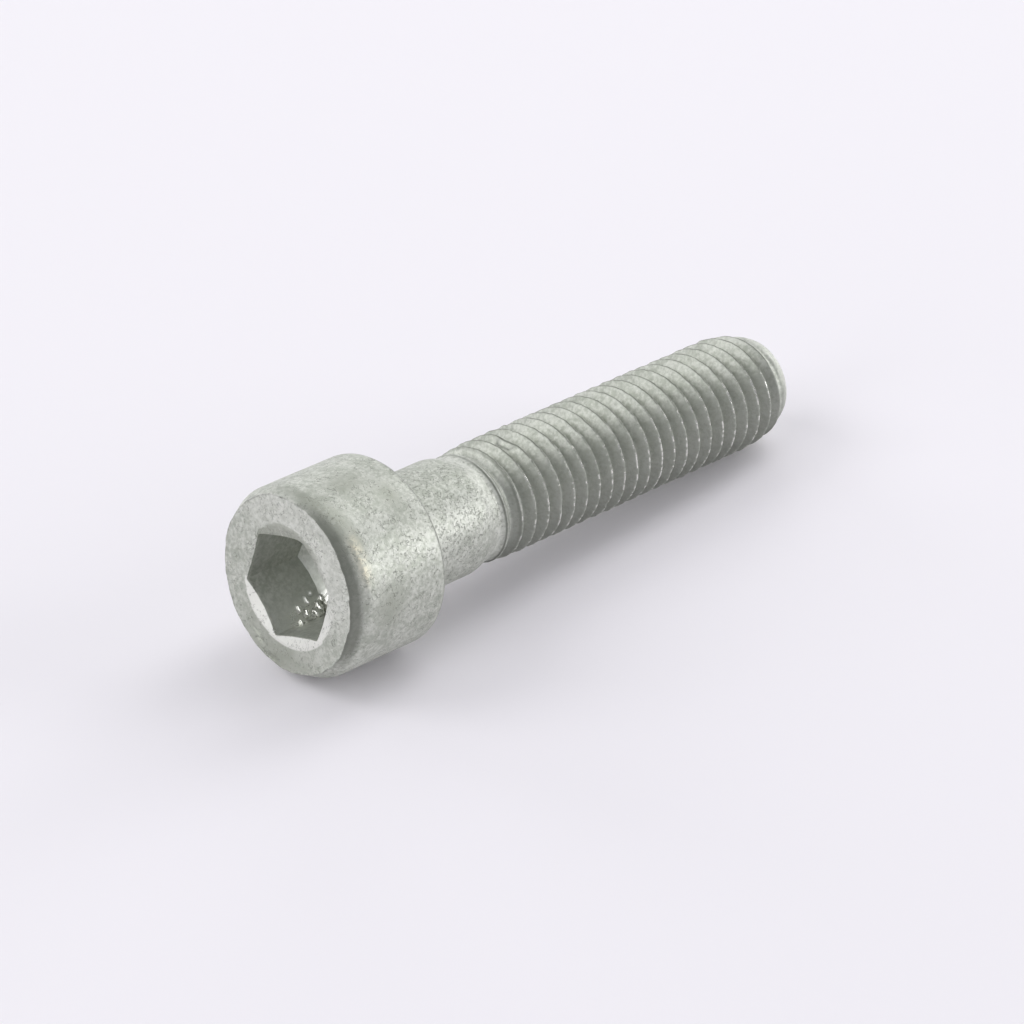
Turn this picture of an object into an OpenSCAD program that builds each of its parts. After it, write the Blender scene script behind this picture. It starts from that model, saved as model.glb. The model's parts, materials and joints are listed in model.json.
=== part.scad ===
// Hex socket cap screw, metric M10, lying on its head's rim and its thread's end.
// The screw is turned about its own axis first, with the bearing face at zero and
// the tip along +Z. It is then laid down with the tip towards +X.

/* [Head] */
// Diameter of the head
head_d = 15.88; // [14:0.02:20]
// Height of the head, from the bearing face to the drive face
head_h = 9.8; // [8.6:0.1:12]
// Radius of the rounded edge round the drive face
head_front_round = 0.95; // [0.3:0.05:1.2]
// Radius of the rounded edge round the bearing face
head_back_round = 0.6; // [0.1:0.05:0.9]

/* [Hex socket] */
// Width of the socket across its flats
socket_af = 8.1; // [6.5:0.05:8.6]
// Depth of the socket's corners, from the drive face
socket_depth = 5.4; // [4:0.1:6.2]
// Full angle of the cone at the bottom of the socket
socket_point_angle = 124; // [100:2:170]
// Diameter of the lead-in at the socket's mouth
lead_in_d = 9.6; // [9.5:0.05:10.2]
// Full angle of the lead-in
lead_in_angle = 120; // [80:2:140]

/* [Shank] */
// Length of the screw under the head
screw_l = 45; // [40:1:80]
// Diameter of the plain shank
shank_d = 9.9; // [9.7:0.02:10]
// Radius of the fillet where the shank meets the head
fillet_r = 0.5; // [0.2:0.05:0.8]
// Diameter of the blank that the thread is rolled on
blank_d = 9.1; // [9:0.02:9.3]
// Length of the step from the shank down to the blank
step_l = 1.7; // [0.6:0.1:2.5]

/* [Thread] */
// Outside diameter of the thread
thread_d = 9.88; // [9.7:0.02:10]
// Pitch of the thread
pitch = 1.5; // [1:0.05:1.75]
// Length of the full thread, from the tip
thread_l = 32; // [20:1:36]
// Length over which the grooves run out towards the shank
run_out_l = 3.9; // [1.5:0.1:5]
// Depth of the thread as a share of its pitch
depth_ratio = 0.61; // [0.5:0.01:0.62]
// Width of the crest as a share of the pitch
crest_ratio = 0.14; // [0.08:0.01:0.2]
// Width of the root as a share of the pitch
root_ratio = 0.16; // [0.1:0.01:0.25]
// Angle at which the groove starts, about the screw's axis
thread_turn = 205; // [0:5:355]
// Flat steps in one turn of the thread
turn_steps = 36; // [24:2:40]

/* [Tip] */
// Diameter of the flat end
tip_d = 7.4; // [6:0.1:7.8]
// Length of the chamfer next to the flat end
chamfer_l = 1.7; // [0.8:0.1:2.5]
// Diameter where the chamfer starts
chamfer_d = 9.12; // [8.6:0.02:9.6]
// Length over which the crests fall to the chamfer
lead_l = 2; // [0.5:0.1:3]

/* [Hidden] */
$fn = 96;
// Overshoot that lets a cut run clear of the face it starts from
clear = 1;
// Width of the ledge where the rolled thread leaves the blank
ledge = 0.04;

head_r = head_d / 2;
shank_r = shank_d / 2;
blank_r = blank_d / 2;
thread_r = thread_d / 2;
tip_r = tip_d / 2;
chamfer_r = chamfer_d / 2;
root_r = thread_r - depth_ratio * pitch;

// Places along the screw's axis, counted from the bearing face
run_out_s = screw_l - thread_l - run_out_l;
shank_s = run_out_s - step_l;
chamfer_s = screw_l - chamfer_l;
lead_s = chamfer_s - lead_l;

// The socket's corners lie 15 degrees round from straight down
socket_turn = 15;
socket_corner_r = socket_af / 2 / cos(30);
socket_point_h = socket_corner_r / tan(socket_point_angle / 2);
lead_in_h = (lead_in_d / 2) / tan(lead_in_angle / 2);

// Half a facet of the head, which puts the middle of one on the ground
facet_turn = 180 / $fn;

// Rest: the head's rounded rim and the first edge of a crest to come down both touch
// the ground, which is on the screw's own +X side before it is laid down
crest_offset = pitch * (0.5 - thread_turn / 360);
crest_edges = [
    for (n = [1:floor((screw_l - run_out_s) / pitch)])
        for (side = [-0.5, 0.5])
            run_out_s + crest_offset + pitch * (n + side * crest_ratio)
];
lie_tilt = min([for (s = crest_edges) tilt_at(s)]);

// Tilt at which the rim and a crest's edge at one place along the axis both touch
function tilt_at(s) =
    let (
        run = s + head_back_round,
        drop = head_r - head_back_round - tip_cap(s)
    )
    atan2(drop, run) + asin(head_back_round / norm([run, drop]));

// Reach of the laid screw, from the middle of the bearing face
ground_z = head_back_round * sin(lie_tilt)
    - (head_r - head_back_round) * cos(lie_tilt) - head_back_round;
head_end_x = (head_front_round - head_h) * cos(lie_tilt)
    - (head_r - head_front_round) * sin(lie_tilt) - head_front_round;
tip_end_x = screw_l * cos(lie_tilt) + tip_r * sin(lie_tilt);

// Half section of the head: two squares and the rounds between them
module head_section() {
    translate([0, -head_h])
        square([head_r - head_front_round, head_h]);
    translate([0, head_front_round - head_h])
        square([head_r, head_h - head_front_round - head_back_round]);
    translate([0, -head_h / 2])
        square([head_r - head_back_round, head_h / 2]);
    translate([head_r - head_front_round, head_front_round - head_h])
        circle(r = head_front_round);
    translate([head_r - head_back_round, -head_back_round])
        circle(r = head_back_round);
}

// Half section of the fillet under the head
module fillet_section() {
    translate([shank_r - clear, 0])
        difference() {
            square([fillet_r + clear, fillet_r]);
            translate([fillet_r + clear, fillet_r])
                circle(r = fillet_r);
        }
}

// Half section of the shank and of its step down to the blank
module shank_section() {
    polygon([
        [0, -clear],
        [shank_r, -clear],
        [shank_r, shank_s],
        [blank_r, run_out_s],
        [0, run_out_s],
    ]);
}

// Hexagonal hole with a coned bottom and a countersunk lead-in
module hex_socket() {
    translate([0, 0, -head_h]) {
        intersection() {
            translate([0, 0, -clear])
                rotate(socket_turn)
                    cylinder(r = socket_corner_r, h = socket_depth + socket_point_h + 2 * clear, $fn = 6);
            rotate_extrude()
                polygon([
                    [0, -clear],
                    [socket_corner_r + clear, -clear],
                    [socket_corner_r + clear, socket_depth - clear / tan(socket_point_angle / 2)],
                    [0, socket_depth + socket_point_h],
                ]);
        }
        rotate_extrude()
            polygon([
                [0, -clear],
                [lead_in_d / 2 + clear * tan(lead_in_angle / 2), -clear],
                [0, lead_in_h],
            ]);
    }
}

// Radius that the tip allows at a place along the axis
function tip_cap(s) =
    s < lead_s ? thread_r
    : s < chamfer_s ? thread_r - (thread_r - chamfer_r) * (s - lead_s) / lead_l
    : chamfer_r - (chamfer_r - tip_r) * (s - chamfer_s) / chamfer_l;

// Share of the full thread depth at a place along the axis, from 0 to 1
function rolled_share(s) =
    let (t = min(max((s - run_out_s) / run_out_l, 0), 1))
    t * (2 - t);

// Radius of the rolled surface for a full radius at a place along the axis
function rolled_r(full_r, s) =
    min(blank_r - ledge + (full_r - blank_r + ledge) * rolled_share(s), tip_cap(s));

// Helical surface of the thread. Each column of points crosses one groove and one
// crest, and its last point is the first one of the column a turn further on.
module rolled_thread() {
    // Place across one pitch and full radius of each point in a column
    column = [
        [0, root_r],
        [root_ratio / 2, root_r + pitch * root_ratio / 4],
        [(1 - crest_ratio) / 2, thread_r],
        [(1 + crest_ratio) / 2, thread_r],
        [1 - root_ratio / 2, root_r + pitch * root_ratio / 4],
    ];
    across = len(column);
    start_s = run_out_s - 2 * pitch;
    turns = ceil((screw_l - start_s) / pitch);
    last = turns * turn_steps;
    spiral = [
        for (i = [0:last + turn_steps])
            for (j = [0:(i > last ? 0 : across - 1)])
                let (
                    a = 360 * i / turn_steps + thread_turn,
                    s = start_s + pitch * (i / turn_steps + column[j][0]),
                    r = rolled_r(column[j][1], s)
                )
                [r * cos(a), r * sin(a), s]
    ];
    foot = len(spiral);
    crown = foot + 1;
    points = concat(spiral, [[0, 0, start_s], [0, 0, start_s + pitch * (turns + 1)]]);
    function at(i, j) =
        j == across ? at(i + turn_steps, 0)
        : i > last ? (last + 1) * across + i - last - 1
        : i * across + j;
    sides = [
        for (i = [0:last - 1])
            for (j = [0:across - 1])
                each [
                    [at(i, j), at(i, j + 1), at(i + 1, j + 1)],
                    [at(i, j), at(i + 1, j + 1), at(i + 1, j)],
                ]
    ];
    foot_fan = concat(
        [for (i = [0:turn_steps - 1]) [foot, at(i, 0), at(i + 1, 0)]],
        [for (j = [0:across - 1]) [foot, at(0, j + 1), at(0, j)]]
    );
    crown_fan = concat(
        [for (i = [last:last + turn_steps - 1]) [crown, at(i + 1, 0), at(i, 0)]],
        [for (j = [0:across - 1]) [crown, at(last, j), at(last, j + 1)]]
    );
    polyhedron(points, concat(sides, foot_fan, crown_fan), convexity = 8);
}

// The whole screw, upright on its own axis
module turned_screw() {
    difference() {
        rotate(facet_turn)
            rotate_extrude()
                union() {
                    head_section();
                    fillet_section();
                    shank_section();
                }
        hex_socket();
    }
    intersection() {
        rolled_thread();
        translate([0, 0, -clear])
            cylinder(r = thread_r + clear, h = screw_l + clear);
    }
}

module cap_screw() {
    color([0.68, 0.69, 0.65])
        translate([-(head_end_x + tip_end_x) / 2, 0, -ground_z])
            rotate([0, 90 + lie_tilt, 0])
                turned_screw();
}

cap_screw();
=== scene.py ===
"""Hex socket cap screw with a dull zinc flake coating, lying on a pale studio floor.

The screw is modelled upright in millimetres: its bearing face is at zero, its tip points along +Z and its
local +X faces the floor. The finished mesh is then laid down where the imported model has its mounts.
"""

import json
import logging
import math
from dataclasses import dataclass, field
from enum import Enum
from typing import Any

import bpy
import numpy as np
from mathutils import Matrix, Vector


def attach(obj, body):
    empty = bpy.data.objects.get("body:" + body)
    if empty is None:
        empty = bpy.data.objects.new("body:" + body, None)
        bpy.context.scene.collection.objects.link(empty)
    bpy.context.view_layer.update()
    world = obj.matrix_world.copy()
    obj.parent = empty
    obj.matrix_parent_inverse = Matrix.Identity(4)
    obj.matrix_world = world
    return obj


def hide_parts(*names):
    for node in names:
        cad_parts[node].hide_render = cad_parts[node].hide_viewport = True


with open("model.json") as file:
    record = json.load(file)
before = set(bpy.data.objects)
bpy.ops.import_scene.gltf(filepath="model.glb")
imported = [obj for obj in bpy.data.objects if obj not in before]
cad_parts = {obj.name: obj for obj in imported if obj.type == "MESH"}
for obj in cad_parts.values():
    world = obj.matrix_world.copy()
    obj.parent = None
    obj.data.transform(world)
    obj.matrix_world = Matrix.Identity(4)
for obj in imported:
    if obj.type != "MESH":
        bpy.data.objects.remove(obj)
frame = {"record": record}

LOG = logging.getLogger("cap_screw")
MM = 0.001
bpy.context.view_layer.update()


class Lamp(Enum):
    """Round softboxes of the studio: azimuth and elevation in degrees, and power in watts."""

    TIP_LOW = (0, 15, 1.7)
    TIP_HIGH = (0, 42, 1.3)
    BACK_LOW = (45, 15, 0.9)
    BACK_HIGH = (45, 42, 0.4)
    LEFT_LOW = (90, 15, 1.7)
    KEY = (135, 42, 2.5)
    HEAD_LOW = (180, 15, 1.4)
    HEAD_HIGH = (180, 42, 1.4)
    RIGHT_LOW = (315, 14, 3.5)
    OVERHEAD = (0, 68, 1.1)


# Small helpers


def linear(colour: str) -> tuple[float, float, float, float]:
    """Turn an sRGB hex colour into a linear one.

    Args:
        colour: Six hex digits after a hash sign.

    Returns:
        Linear red, green, blue and an alpha of 1.
    """
    parts = [int(colour[i:i + 2], 16) / 255 for i in (1, 3, 5)]
    red, green, blue = (p / 12.92 if p <= 0.04045 else ((p + 0.055) / 1.055) ** 2.4 for p in parts)
    return red, green, blue, 1.0


def add_node(
    tree: bpy.types.NodeTree,
    kind: str,
    inputs: dict[Any, Any] | None = None,
    output: int = 0,
    **settings: Any,
) -> bpy.types.NodeSocket | None:
    """Add one shader node.

    Args:
        tree: Tree that gets the node.
        kind: Name of the node's type.
        inputs: Value or linked socket for each named or numbered input.
        output: Number of the output that is wanted.
        **settings: Properties of the node.

    Returns:
        The wanted output, or None where the node has none.
    """
    made = tree.nodes.new(kind)
    for name, value in settings.items():
        setattr(made, name, value)
    for name, value in (inputs or {}).items():
        if isinstance(value, bpy.types.NodeSocket):
            tree.links.new(value, made.inputs[name])
        else:
            made.inputs[name].default_value = value
    return made.outputs[output] if made.outputs else None


def deselect_all() -> None:
    """Leave edit mode and deselect every object."""
    if bpy.context.object and bpy.context.object.mode != "OBJECT":
        bpy.ops.object.mode_set(mode="OBJECT")
    bpy.ops.object.select_all(action="DESELECT")


def activate(piece: bpy.types.Object) -> None:
    """Make one object the only selected and active one.

    Args:
        piece: Object that the next steps work on.
    """
    deselect_all()
    piece.select_set(True)
    bpy.context.view_layer.objects.active = piece


def turn_outline(name: str, outline: list[tuple[float, float]], steps: int) -> bpy.types.Object:
    """Turn an outline about Z: a disc is added and extruded ring by ring.

    Args:
        name: Name of the new object.
        outline: Radius and place along Z of each ring, in order.
        steps: Facets round the axis.

    Returns:
        A closed solid.
    """
    deselect_all()
    last_r, last_s = outline[0]
    bpy.ops.mesh.primitive_circle_add(
        vertices=steps, radius=last_r, fill_type="NGON", location=(0, 0, last_s)
    )
    piece = bpy.context.object
    piece.name = name
    bpy.ops.object.mode_set(mode="EDIT")
    bpy.ops.mesh.select_all(action="SELECT")
    for r, s in outline[1:]:
        bpy.ops.mesh.extrude_region_move(TRANSFORM_OT_translate={"value": (0, 0, s - last_s)})
        k = r / last_r
        bpy.ops.transform.resize(value=(k, k, 1), center_override=(0, 0, s))
        last_r, last_s = r, s
    bpy.ops.mesh.select_all(action="SELECT")
    bpy.ops.mesh.normals_make_consistent(inside=False)
    bpy.ops.object.mode_set(mode="OBJECT")
    bpy.ops.object.transform_apply(location=True, rotation=True, scale=True)
    return piece


def arc(
    centre: tuple[float, float], radius: float, start: float, end: float, steps: int
) -> list[tuple[float, float]]:
    """List the points of an arc in an outline.

    Args:
        centre: Radius and place along Z of the arc's centre.
        radius: Radius of the arc.
        start: First angle in degrees, from the outward direction towards +Z.
        end: Last angle in degrees.
        steps: Number of steps from the first point to the last.

    Returns:
        The points, both ends included.
    """
    angles = [math.radians(start + (end - start) * i / steps) for i in range(steps + 1)]
    return [(centre[0] + radius * math.cos(a), centre[1] + radius * math.sin(a)) for a in angles]


def stretch(start: tuple[float, float], end: tuple[float, float], steps: int) -> list[tuple[float, float]]:
    """List the points inside a straight stretch of an outline, both ends left out."""
    return [
        (start[0] + (end[0] - start[0]) * i / steps, start[1] + (end[1] - start[1]) * i / steps)
        for i in range(1, steps)
    ]


def combine(piece: bpy.types.Object, tool: bpy.types.Object, operation: str) -> None:
    """Apply a boolean to a piece and delete the tool.

    Args:
        piece: Object that is changed.
        tool: Object that it is joined with or cut by.
        operation: UNION, DIFFERENCE or INTERSECT.
    """
    activate(piece)
    change = piece.modifiers.new(operation.lower(), "BOOLEAN")
    change.operation = operation
    change.solver = "EXACT"
    change.object = tool
    bpy.ops.object.modifier_apply(modifier=change.name)
    bpy.data.objects.remove(tool, do_unlink=True)


def points_of(mesh: bpy.types.Mesh) -> np.ndarray:
    """Read the vertices of a mesh.

    Args:
        mesh: Mesh that is read.

    Returns:
        An array with one point in each row.
    """
    flat = np.empty(len(mesh.vertices) * 3, dtype=np.float32)
    mesh.vertices.foreach_get("co", flat)
    return flat.reshape(-1, 3).astype(float)


def move_points(mesh: bpy.types.Mesh, points: np.ndarray) -> None:
    """Put the vertices of a mesh at new points."""
    mesh.vertices.foreach_set("co", points.astype(np.float32).ravel())
    mesh.update()


def smooth_step(value: np.ndarray, low: float, high: float) -> np.ndarray:
    """Rise softly from 0 at low to 1 at high, or fall where low is the larger."""
    t = np.clip((value - low) / (high - low), 0, 1)
    return t * t * (3 - 2 * t)


def angle_between(angles: np.ndarray, middle: float) -> np.ndarray:
    """Return how far each angle lies from a middle one, in degrees from -180 to 180."""
    return (angles - middle + 180) % 360 - 180


def near(value: np.ndarray, place: Any, none: float, full: float) -> np.ndarray:
    """Return 1 where a value is within full of a place, falling softly to 0 at none from it."""
    return smooth_step(np.abs(value - place), none, full)


def sector(angles: np.ndarray, middle: float, none: float, full: float) -> np.ndarray:
    """Return 1 within full degrees of a middle angle, falling softly to 0 at none degrees from it."""
    return near(angle_between(angles, middle), 0, none, full)


def ridge_at(value: np.ndarray, middle: Any, reach: float) -> np.ndarray:
    """Return 1 at a middle value, falling off softly on both sides."""
    return np.exp(-((value - middle) / reach) ** 2)


def polar(points: np.ndarray) -> tuple[np.ndarray, np.ndarray, np.ndarray]:
    """Return the radius, the angle in degrees and the place along the axis of points."""
    angle = np.degrees(np.arctan2(points[:, 1], points[:, 0])) % 360
    return np.hypot(points[:, 0], points[:, 1]), angle, points[:, 2]


# The screw


@dataclass(frozen=True)
class Dent:
    """A shallow knock in the surface, with its reach along the screw and round it."""

    place: float
    angle: float
    reach_along: float
    reach_round: float
    depth: float


@dataclass(frozen=True)
class Gouge:
    """A mark pressed into the drive face, with its reach across and round the screw's axis."""

    radius: float
    angle: float
    reach_across: float
    reach_round: float
    depth: float


@dataclass(frozen=True)
class Smudge:
    """A dark mark on the head, with its reach along the screw and round it."""

    place: float
    angle: float
    reach_along: float
    reach_round: float


@dataclass(frozen=True)
class EdgeLine:
    """A line along the drive face's edge: how far outside it, how wide, and from where to where below it."""

    outside: float
    width: float
    start: float
    end: float


@dataclass(frozen=True)
class ScrewSizes:
    """Sizes of the screw in millimetres, and its turns in degrees."""

    head_r: float = 7.94
    head_h: float = 9.77
    front_w: float = 0.64
    front_h: float = 1.4
    back_round: float = 0.6
    socket_depth: float = 5.4
    socket_point: float = 124
    lead_in_angle: float = 138
    length: float = 45
    shank_r: float = 4.95
    fillet_r: float = 0.5
    blank_r: float = 4.55
    step_l: float = 1.7
    thread_r: float = 4.935
    root_r: float = 4.03
    pitch: float = 1.5
    thread_l: float = 32
    run_out_l: float = 3.9
    thread_turn: float = 205
    chamfer_r: float = 4.56
    chamfer_l: float = 1.7
    lead_l: float = 2.0
    tip_r: float = 3.7
    tip_round: float = 0.22

    @property
    def face_r(self) -> float:
        """Mean radius of the flat drive face, where its crisp edge is."""
        return self.head_r - self.front_w

    @property
    def run_out_s(self) -> float:
        """Place where the first groove starts to sink into the blank."""
        return self.length - self.thread_l - self.run_out_l

    @property
    def shank_s(self) -> float:
        """Place where the plain shank ends."""
        return self.run_out_s - self.step_l

    @property
    def chamfer_s(self) -> float:
        """Place where the chamfer of the tip starts."""
        return self.length - self.chamfer_l

    @property
    def lead_s(self) -> float:
        """Place where the crests start to fall towards the chamfer."""
        return self.chamfer_s - self.lead_l

    def across_pitch(self, s: np.ndarray, angle: np.ndarray) -> np.ndarray:
        """Return the place across one pitch, from 0 at a root to 1 at the next, with a crest at a half."""
        return ((s - self.run_out_s) / self.pitch - (angle - self.thread_turn) / 360) % 1


@dataclass
class ThreadedRod:
    """The rolled thread with its run-out and the chamfered tip, as one helical surface."""

    sizes: ScrewSizes
    turn_steps: int = 112
    ledge: float = 0.012
    start_s: float = 8.2
    # Turns that run past both flat cuts
    spare_turns: int = 3
    weld: float = 0.001

    # Place across one pitch, and share of the full height, of each point of the thread's outline. The
    # root is rounded, and the crest has the fine seam where rolling has pushed the steel up from both sides.
    outline: tuple[tuple[float, float], ...] = (
        (0.0, 0.0), (0.035, 0.012), (0.065, 0.042), (0.095, 0.092), (0.15, 0.228), (0.21, 0.378),
        (0.27, 0.528), (0.33, 0.678), (0.38, 0.803), (0.415, 0.885), (0.44, 0.945), (0.465, 0.99),
        (0.485, 1.0), (0.502, 0.955), (0.518, 0.995), (0.55, 0.968), (0.58, 0.912), (0.62, 0.81),
        (0.68, 0.66), (0.74, 0.51), (0.80, 0.36), (0.86, 0.21), (0.905, 0.092), (0.935, 0.042),
        (0.965, 0.012),
    )

    def share_rolled(self, s: np.ndarray) -> np.ndarray:
        """Return the share of the thread's full depth at places along the axis, from 0 to 1."""
        t = np.clip((s - self.sizes.run_out_s) / self.sizes.run_out_l, 0, 1)
        return t * (2 - t)

    def tip_cap(self, s: np.ndarray) -> np.ndarray:
        """Work out the radius that the tip allows.

        Args:
            s: Places along the axis.

        Returns:
            The largest radius at each place.
        """
        z = self.sizes
        lead = z.thread_r - (z.thread_r - z.chamfer_r) * (s - z.lead_s) / z.lead_l
        chamfer = z.chamfer_r - (z.chamfer_r - z.tip_r) * (s - z.chamfer_s) / z.chamfer_l
        cap = np.where(s < z.lead_s, z.thread_r, np.where(s < z.chamfer_s, lead, chamfer))
        into = np.clip((s - z.length + z.tip_round) / z.tip_round, 0, 1)
        return cap - z.tip_round * (1 - np.sqrt(1 - into ** 2))

    def shaped(self, points: np.ndarray) -> np.ndarray:
        """Move the points of a plain helical surface to the rolled, run-out and pointed one.

        Args:
            points: Points of the full thread.

        Returns:
            The moved points.
        """
        z = self.sizes
        r, _, s = polar(points)
        height = (r - z.root_r) / (z.thread_r - z.root_r)
        cap = self.tip_cap(s)
        root = np.minimum(z.root_r, cap)
        crest = np.maximum(cap, root)
        full = root + (crest - root) * height
        low = z.blank_r - self.ledge
        new_r = np.minimum(low + (full - low) * self.share_rolled(s), np.maximum(cap, root))
        moved = points.copy()
        moved[:, :2] *= (new_r / r)[:, None]
        return moved

    def build(self) -> bpy.types.Object:
        """Draw one pitch of the outline, screw it round the axis and cut its ends flat.

        Returns:
            A closed solid.
        """
        z = self.sizes
        turns = math.ceil((z.length - self.start_s) / z.pitch) + self.spare_turns
        first_s = z.pitch * math.ceil((self.start_s - z.pitch * 1.5) / z.pitch)
        # The outline starts at the angle zero, so the thread's turn becomes a move along the axis
        first_s += (z.run_out_s - z.pitch * z.thread_turn / 360) % z.pitch - z.pitch
        depth = z.thread_r - z.root_r
        column = [(z.root_r + depth * h, first_s + z.pitch * u) for u, h in self.outline]
        column.append((z.root_r, first_s + z.pitch))

        deselect_all()
        bpy.ops.mesh.primitive_plane_add(size=0.01, location=(column[0][0], 0, column[0][1]))
        rod = bpy.context.object
        rod.name = "threaded_rod"
        bpy.ops.object.mode_set(mode="EDIT")
        bpy.ops.mesh.select_all(action="SELECT")
        bpy.ops.mesh.merge(type="CENTER")
        last_r, last_s = column[0]
        for r, s in column[1:]:
            bpy.ops.mesh.extrude_region_move(TRANSFORM_OT_translate={"value": (r - last_r, 0, s - last_s)})
            last_r, last_s = r, s
        bpy.ops.object.mode_set(mode="OBJECT")
        bpy.ops.object.transform_apply(location=True, rotation=True, scale=True)

        helix = rod.modifiers.new("helix", "SCREW")
        helix.axis = "Z"
        helix.angle = math.radians(360)
        helix.screw_offset = z.pitch
        helix.iterations = turns
        helix.steps = self.turn_steps
        helix.render_steps = self.turn_steps
        bpy.ops.object.modifier_apply(modifier=helix.name)
        bpy.ops.object.mode_set(mode="EDIT")
        bpy.ops.mesh.select_all(action="SELECT")
        bpy.ops.mesh.remove_doubles(threshold=self.weld)
        bpy.ops.object.mode_set(mode="OBJECT")

        move_points(rod.data, self.shaped(points_of(rod.data)))
        bpy.ops.object.mode_set(mode="EDIT")
        for place, outer in ((self.start_s, False), (z.length, True)):
            bpy.ops.mesh.select_all(action="SELECT")
            bpy.ops.mesh.bisect(
                plane_co=(0, 0, place),
                plane_no=(0, 0, 1),
                use_fill=True,
                clear_inner=not outer,
                clear_outer=outer,
                threshold=0.0001,
            )
        bpy.ops.mesh.select_all(action="SELECT")
        bpy.ops.mesh.normals_make_consistent(inside=False)
        bpy.ops.object.mode_set(mode="OBJECT")
        return rod


@dataclass
class ForgedBlank:
    """The upset head, its fillet, the plain shank and the step down to the rolled blank."""

    sizes: ScrewSizes
    steps: int = 240
    core_r: float = 3.0
    # Rings of the drive face that the socket cuts away or passes through
    mouth_rings: tuple[float, float] = (4.0, 4.7)
    # Radius up to which the drive face keeps its rings round
    calm_r: float = 5.3
    # The crisp edge of the drive face is not quite round, because the steel filled the die unevenly
    edge_shift: float = -0.14
    edge_oval: float = 0.23
    edge_inset: float = 0.07
    edge_ripple: float = 0.06
    # Waves round the axis, start and share of each part of the ripple
    ripple: tuple[tuple[int, float, float], ...] = ((7, 1.0, 1.0), (13, 2.2, 0.7), (29, 0, 0.6), (47, 0, 0.4))
    # The rim that stands a hair above the drive face, and shares of its width and height at its rings
    rim_width: float = 0.34
    rim_height: float = 0.012
    rim_profile: tuple[tuple[float, float], ...] = ((0.6, 0.55), (0.3, 0.1), (0.12, 0.0), (0.0, 0.12))
    # Shares of the front edge's width and height, along the slope that runs into the side
    edge_profile: tuple[tuple[float, float], ...] = (
        (0.05, 0.05), (0.12, 0.12), (0.21, 0.21), (0.32, 0.32), (0.45, 0.44),
        (0.59, 0.58), (0.73, 0.72), (0.86, 0.86), (0.95, 0.96), (1.0, 1.08),
    )
    # Rings of the step down to the blank, and how the blank then dives into the thread: how far inside
    # the blank's surface, and how far past the place where the grooves start
    step_rings: int = 10
    dive: tuple[tuple[float, float], ...] = ((0.03, 0.12), (0.4, 1.0))
    end_past: float = 1.2

    def outline(self) -> list[tuple[float, float]]:
        """List the rings of the blank from the drive face to the end inside the thread.

        Returns:
            Radius and place along Z of each ring.
        """
        z = self.sizes
        front = -z.head_h
        under_r = z.head_r - z.back_round
        fillet_r = z.shank_r + z.fillet_r
        face = front + self.rim_height
        rim_start = z.face_r - self.rim_width
        rings = [(self.core_r, face)] + [(r, face) for r in self.mouth_rings]
        rings += stretch(rings[-1], (rim_start, face), 18) + [(rim_start, face)]
        rings += [(z.face_r - self.rim_width * w, front + self.rim_height * h) for w, h in self.rim_profile]
        rings += [(z.face_r + z.front_w * w, front + z.front_h * h) for w, h in self.edge_profile]
        rings += stretch(rings[-1], (z.head_r, -z.back_round), 20)
        rings += arc((under_r, -z.back_round), z.back_round, 0, 90, 7)
        rings += stretch((under_r, 0), (fillet_r, 0), 4)
        rings += arc((fillet_r, z.fillet_r), z.fillet_r, 270, 180, 6)
        rings += stretch((z.shank_r, z.fillet_r), (z.shank_r, z.shank_s), 18)
        drop = z.shank_r - z.blank_r
        for i in range(self.step_rings + 1):
            t = i / self.step_rings
            soft = t * t * (3 - 2 * t)
            rings.append((z.shank_r - drop * (t + soft) / 2, z.shank_s + z.step_l * t))
        rings += [(z.blank_r - inside, z.run_out_s + past) for inside, past in self.dive]
        rings.append((self.core_r, z.run_out_s + self.end_past))
        return rings

    def front_edge(self, angle: np.ndarray) -> np.ndarray:
        """Work out where the drive face's crisp edge runs.

        Args:
            angle: Angles in degrees.

        Returns:
            The radius of the edge at each angle.
        """
        a = np.radians(angle)
        ripple = sum(share * np.sin(waves * a + start) for waves, start, share in self.ripple)
        base = self.sizes.face_r - self.edge_inset
        oval = self.edge_shift * np.cos(a) + self.edge_oval * np.cos(2 * a)
        return base + oval + self.edge_ripple * ripple / 2

    def shape_front(self, blank: bpy.types.Object) -> None:
        """Move the crisp edge of the drive face, and the rounding outside it, to their uneven run.

        Args:
            blank: Turned blank, whose front is still round.
        """
        z = self.sizes
        points = points_of(blank.data)
        r, angle, s = polar(points)
        edge = self.front_edge(angle)
        front = s < z.front_h * 1.1 - z.head_h
        outside = front & (r >= z.face_r - 0.001)
        inside = front & (r > self.calm_r) & ~outside
        new_r = r.copy()
        share = (r - z.face_r) / (z.head_r - z.face_r)
        new_r[outside] = (edge + (z.head_r - edge) * share)[outside]
        share = (r - self.calm_r) / (z.face_r - self.calm_r)
        new_r[inside] = (self.calm_r + (edge - self.calm_r) * share)[inside]
        points[:, :2] *= (new_r / np.maximum(r, 0.001))[:, None]
        move_points(blank.data, points)

    def build(self) -> bpy.types.Object:
        """Turn the blank and shape its front.

        Returns:
            A closed solid.
        """
        blank = turn_outline("forged_blank", self.outline(), self.steps)
        self.shape_front(blank)
        return blank


@dataclass(frozen=True)
class SocketCorner:
    """A corner of the punched hexagon: its radius and angle, and how far its rounding reaches."""

    radius: float
    angle: float
    reach: float

    def point(self) -> np.ndarray:
        """Return the sharp corner in the plane of the drive face."""
        a = math.radians(self.angle)
        return np.array([self.radius * math.cos(a), self.radius * math.sin(a)])


@dataclass(frozen=True)
class Drop:
    """A drop of coating on a wall of the socket, with its reach round the screw and along it."""

    angle: float
    radius: float
    place: float
    wide: float
    tall: float


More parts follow.
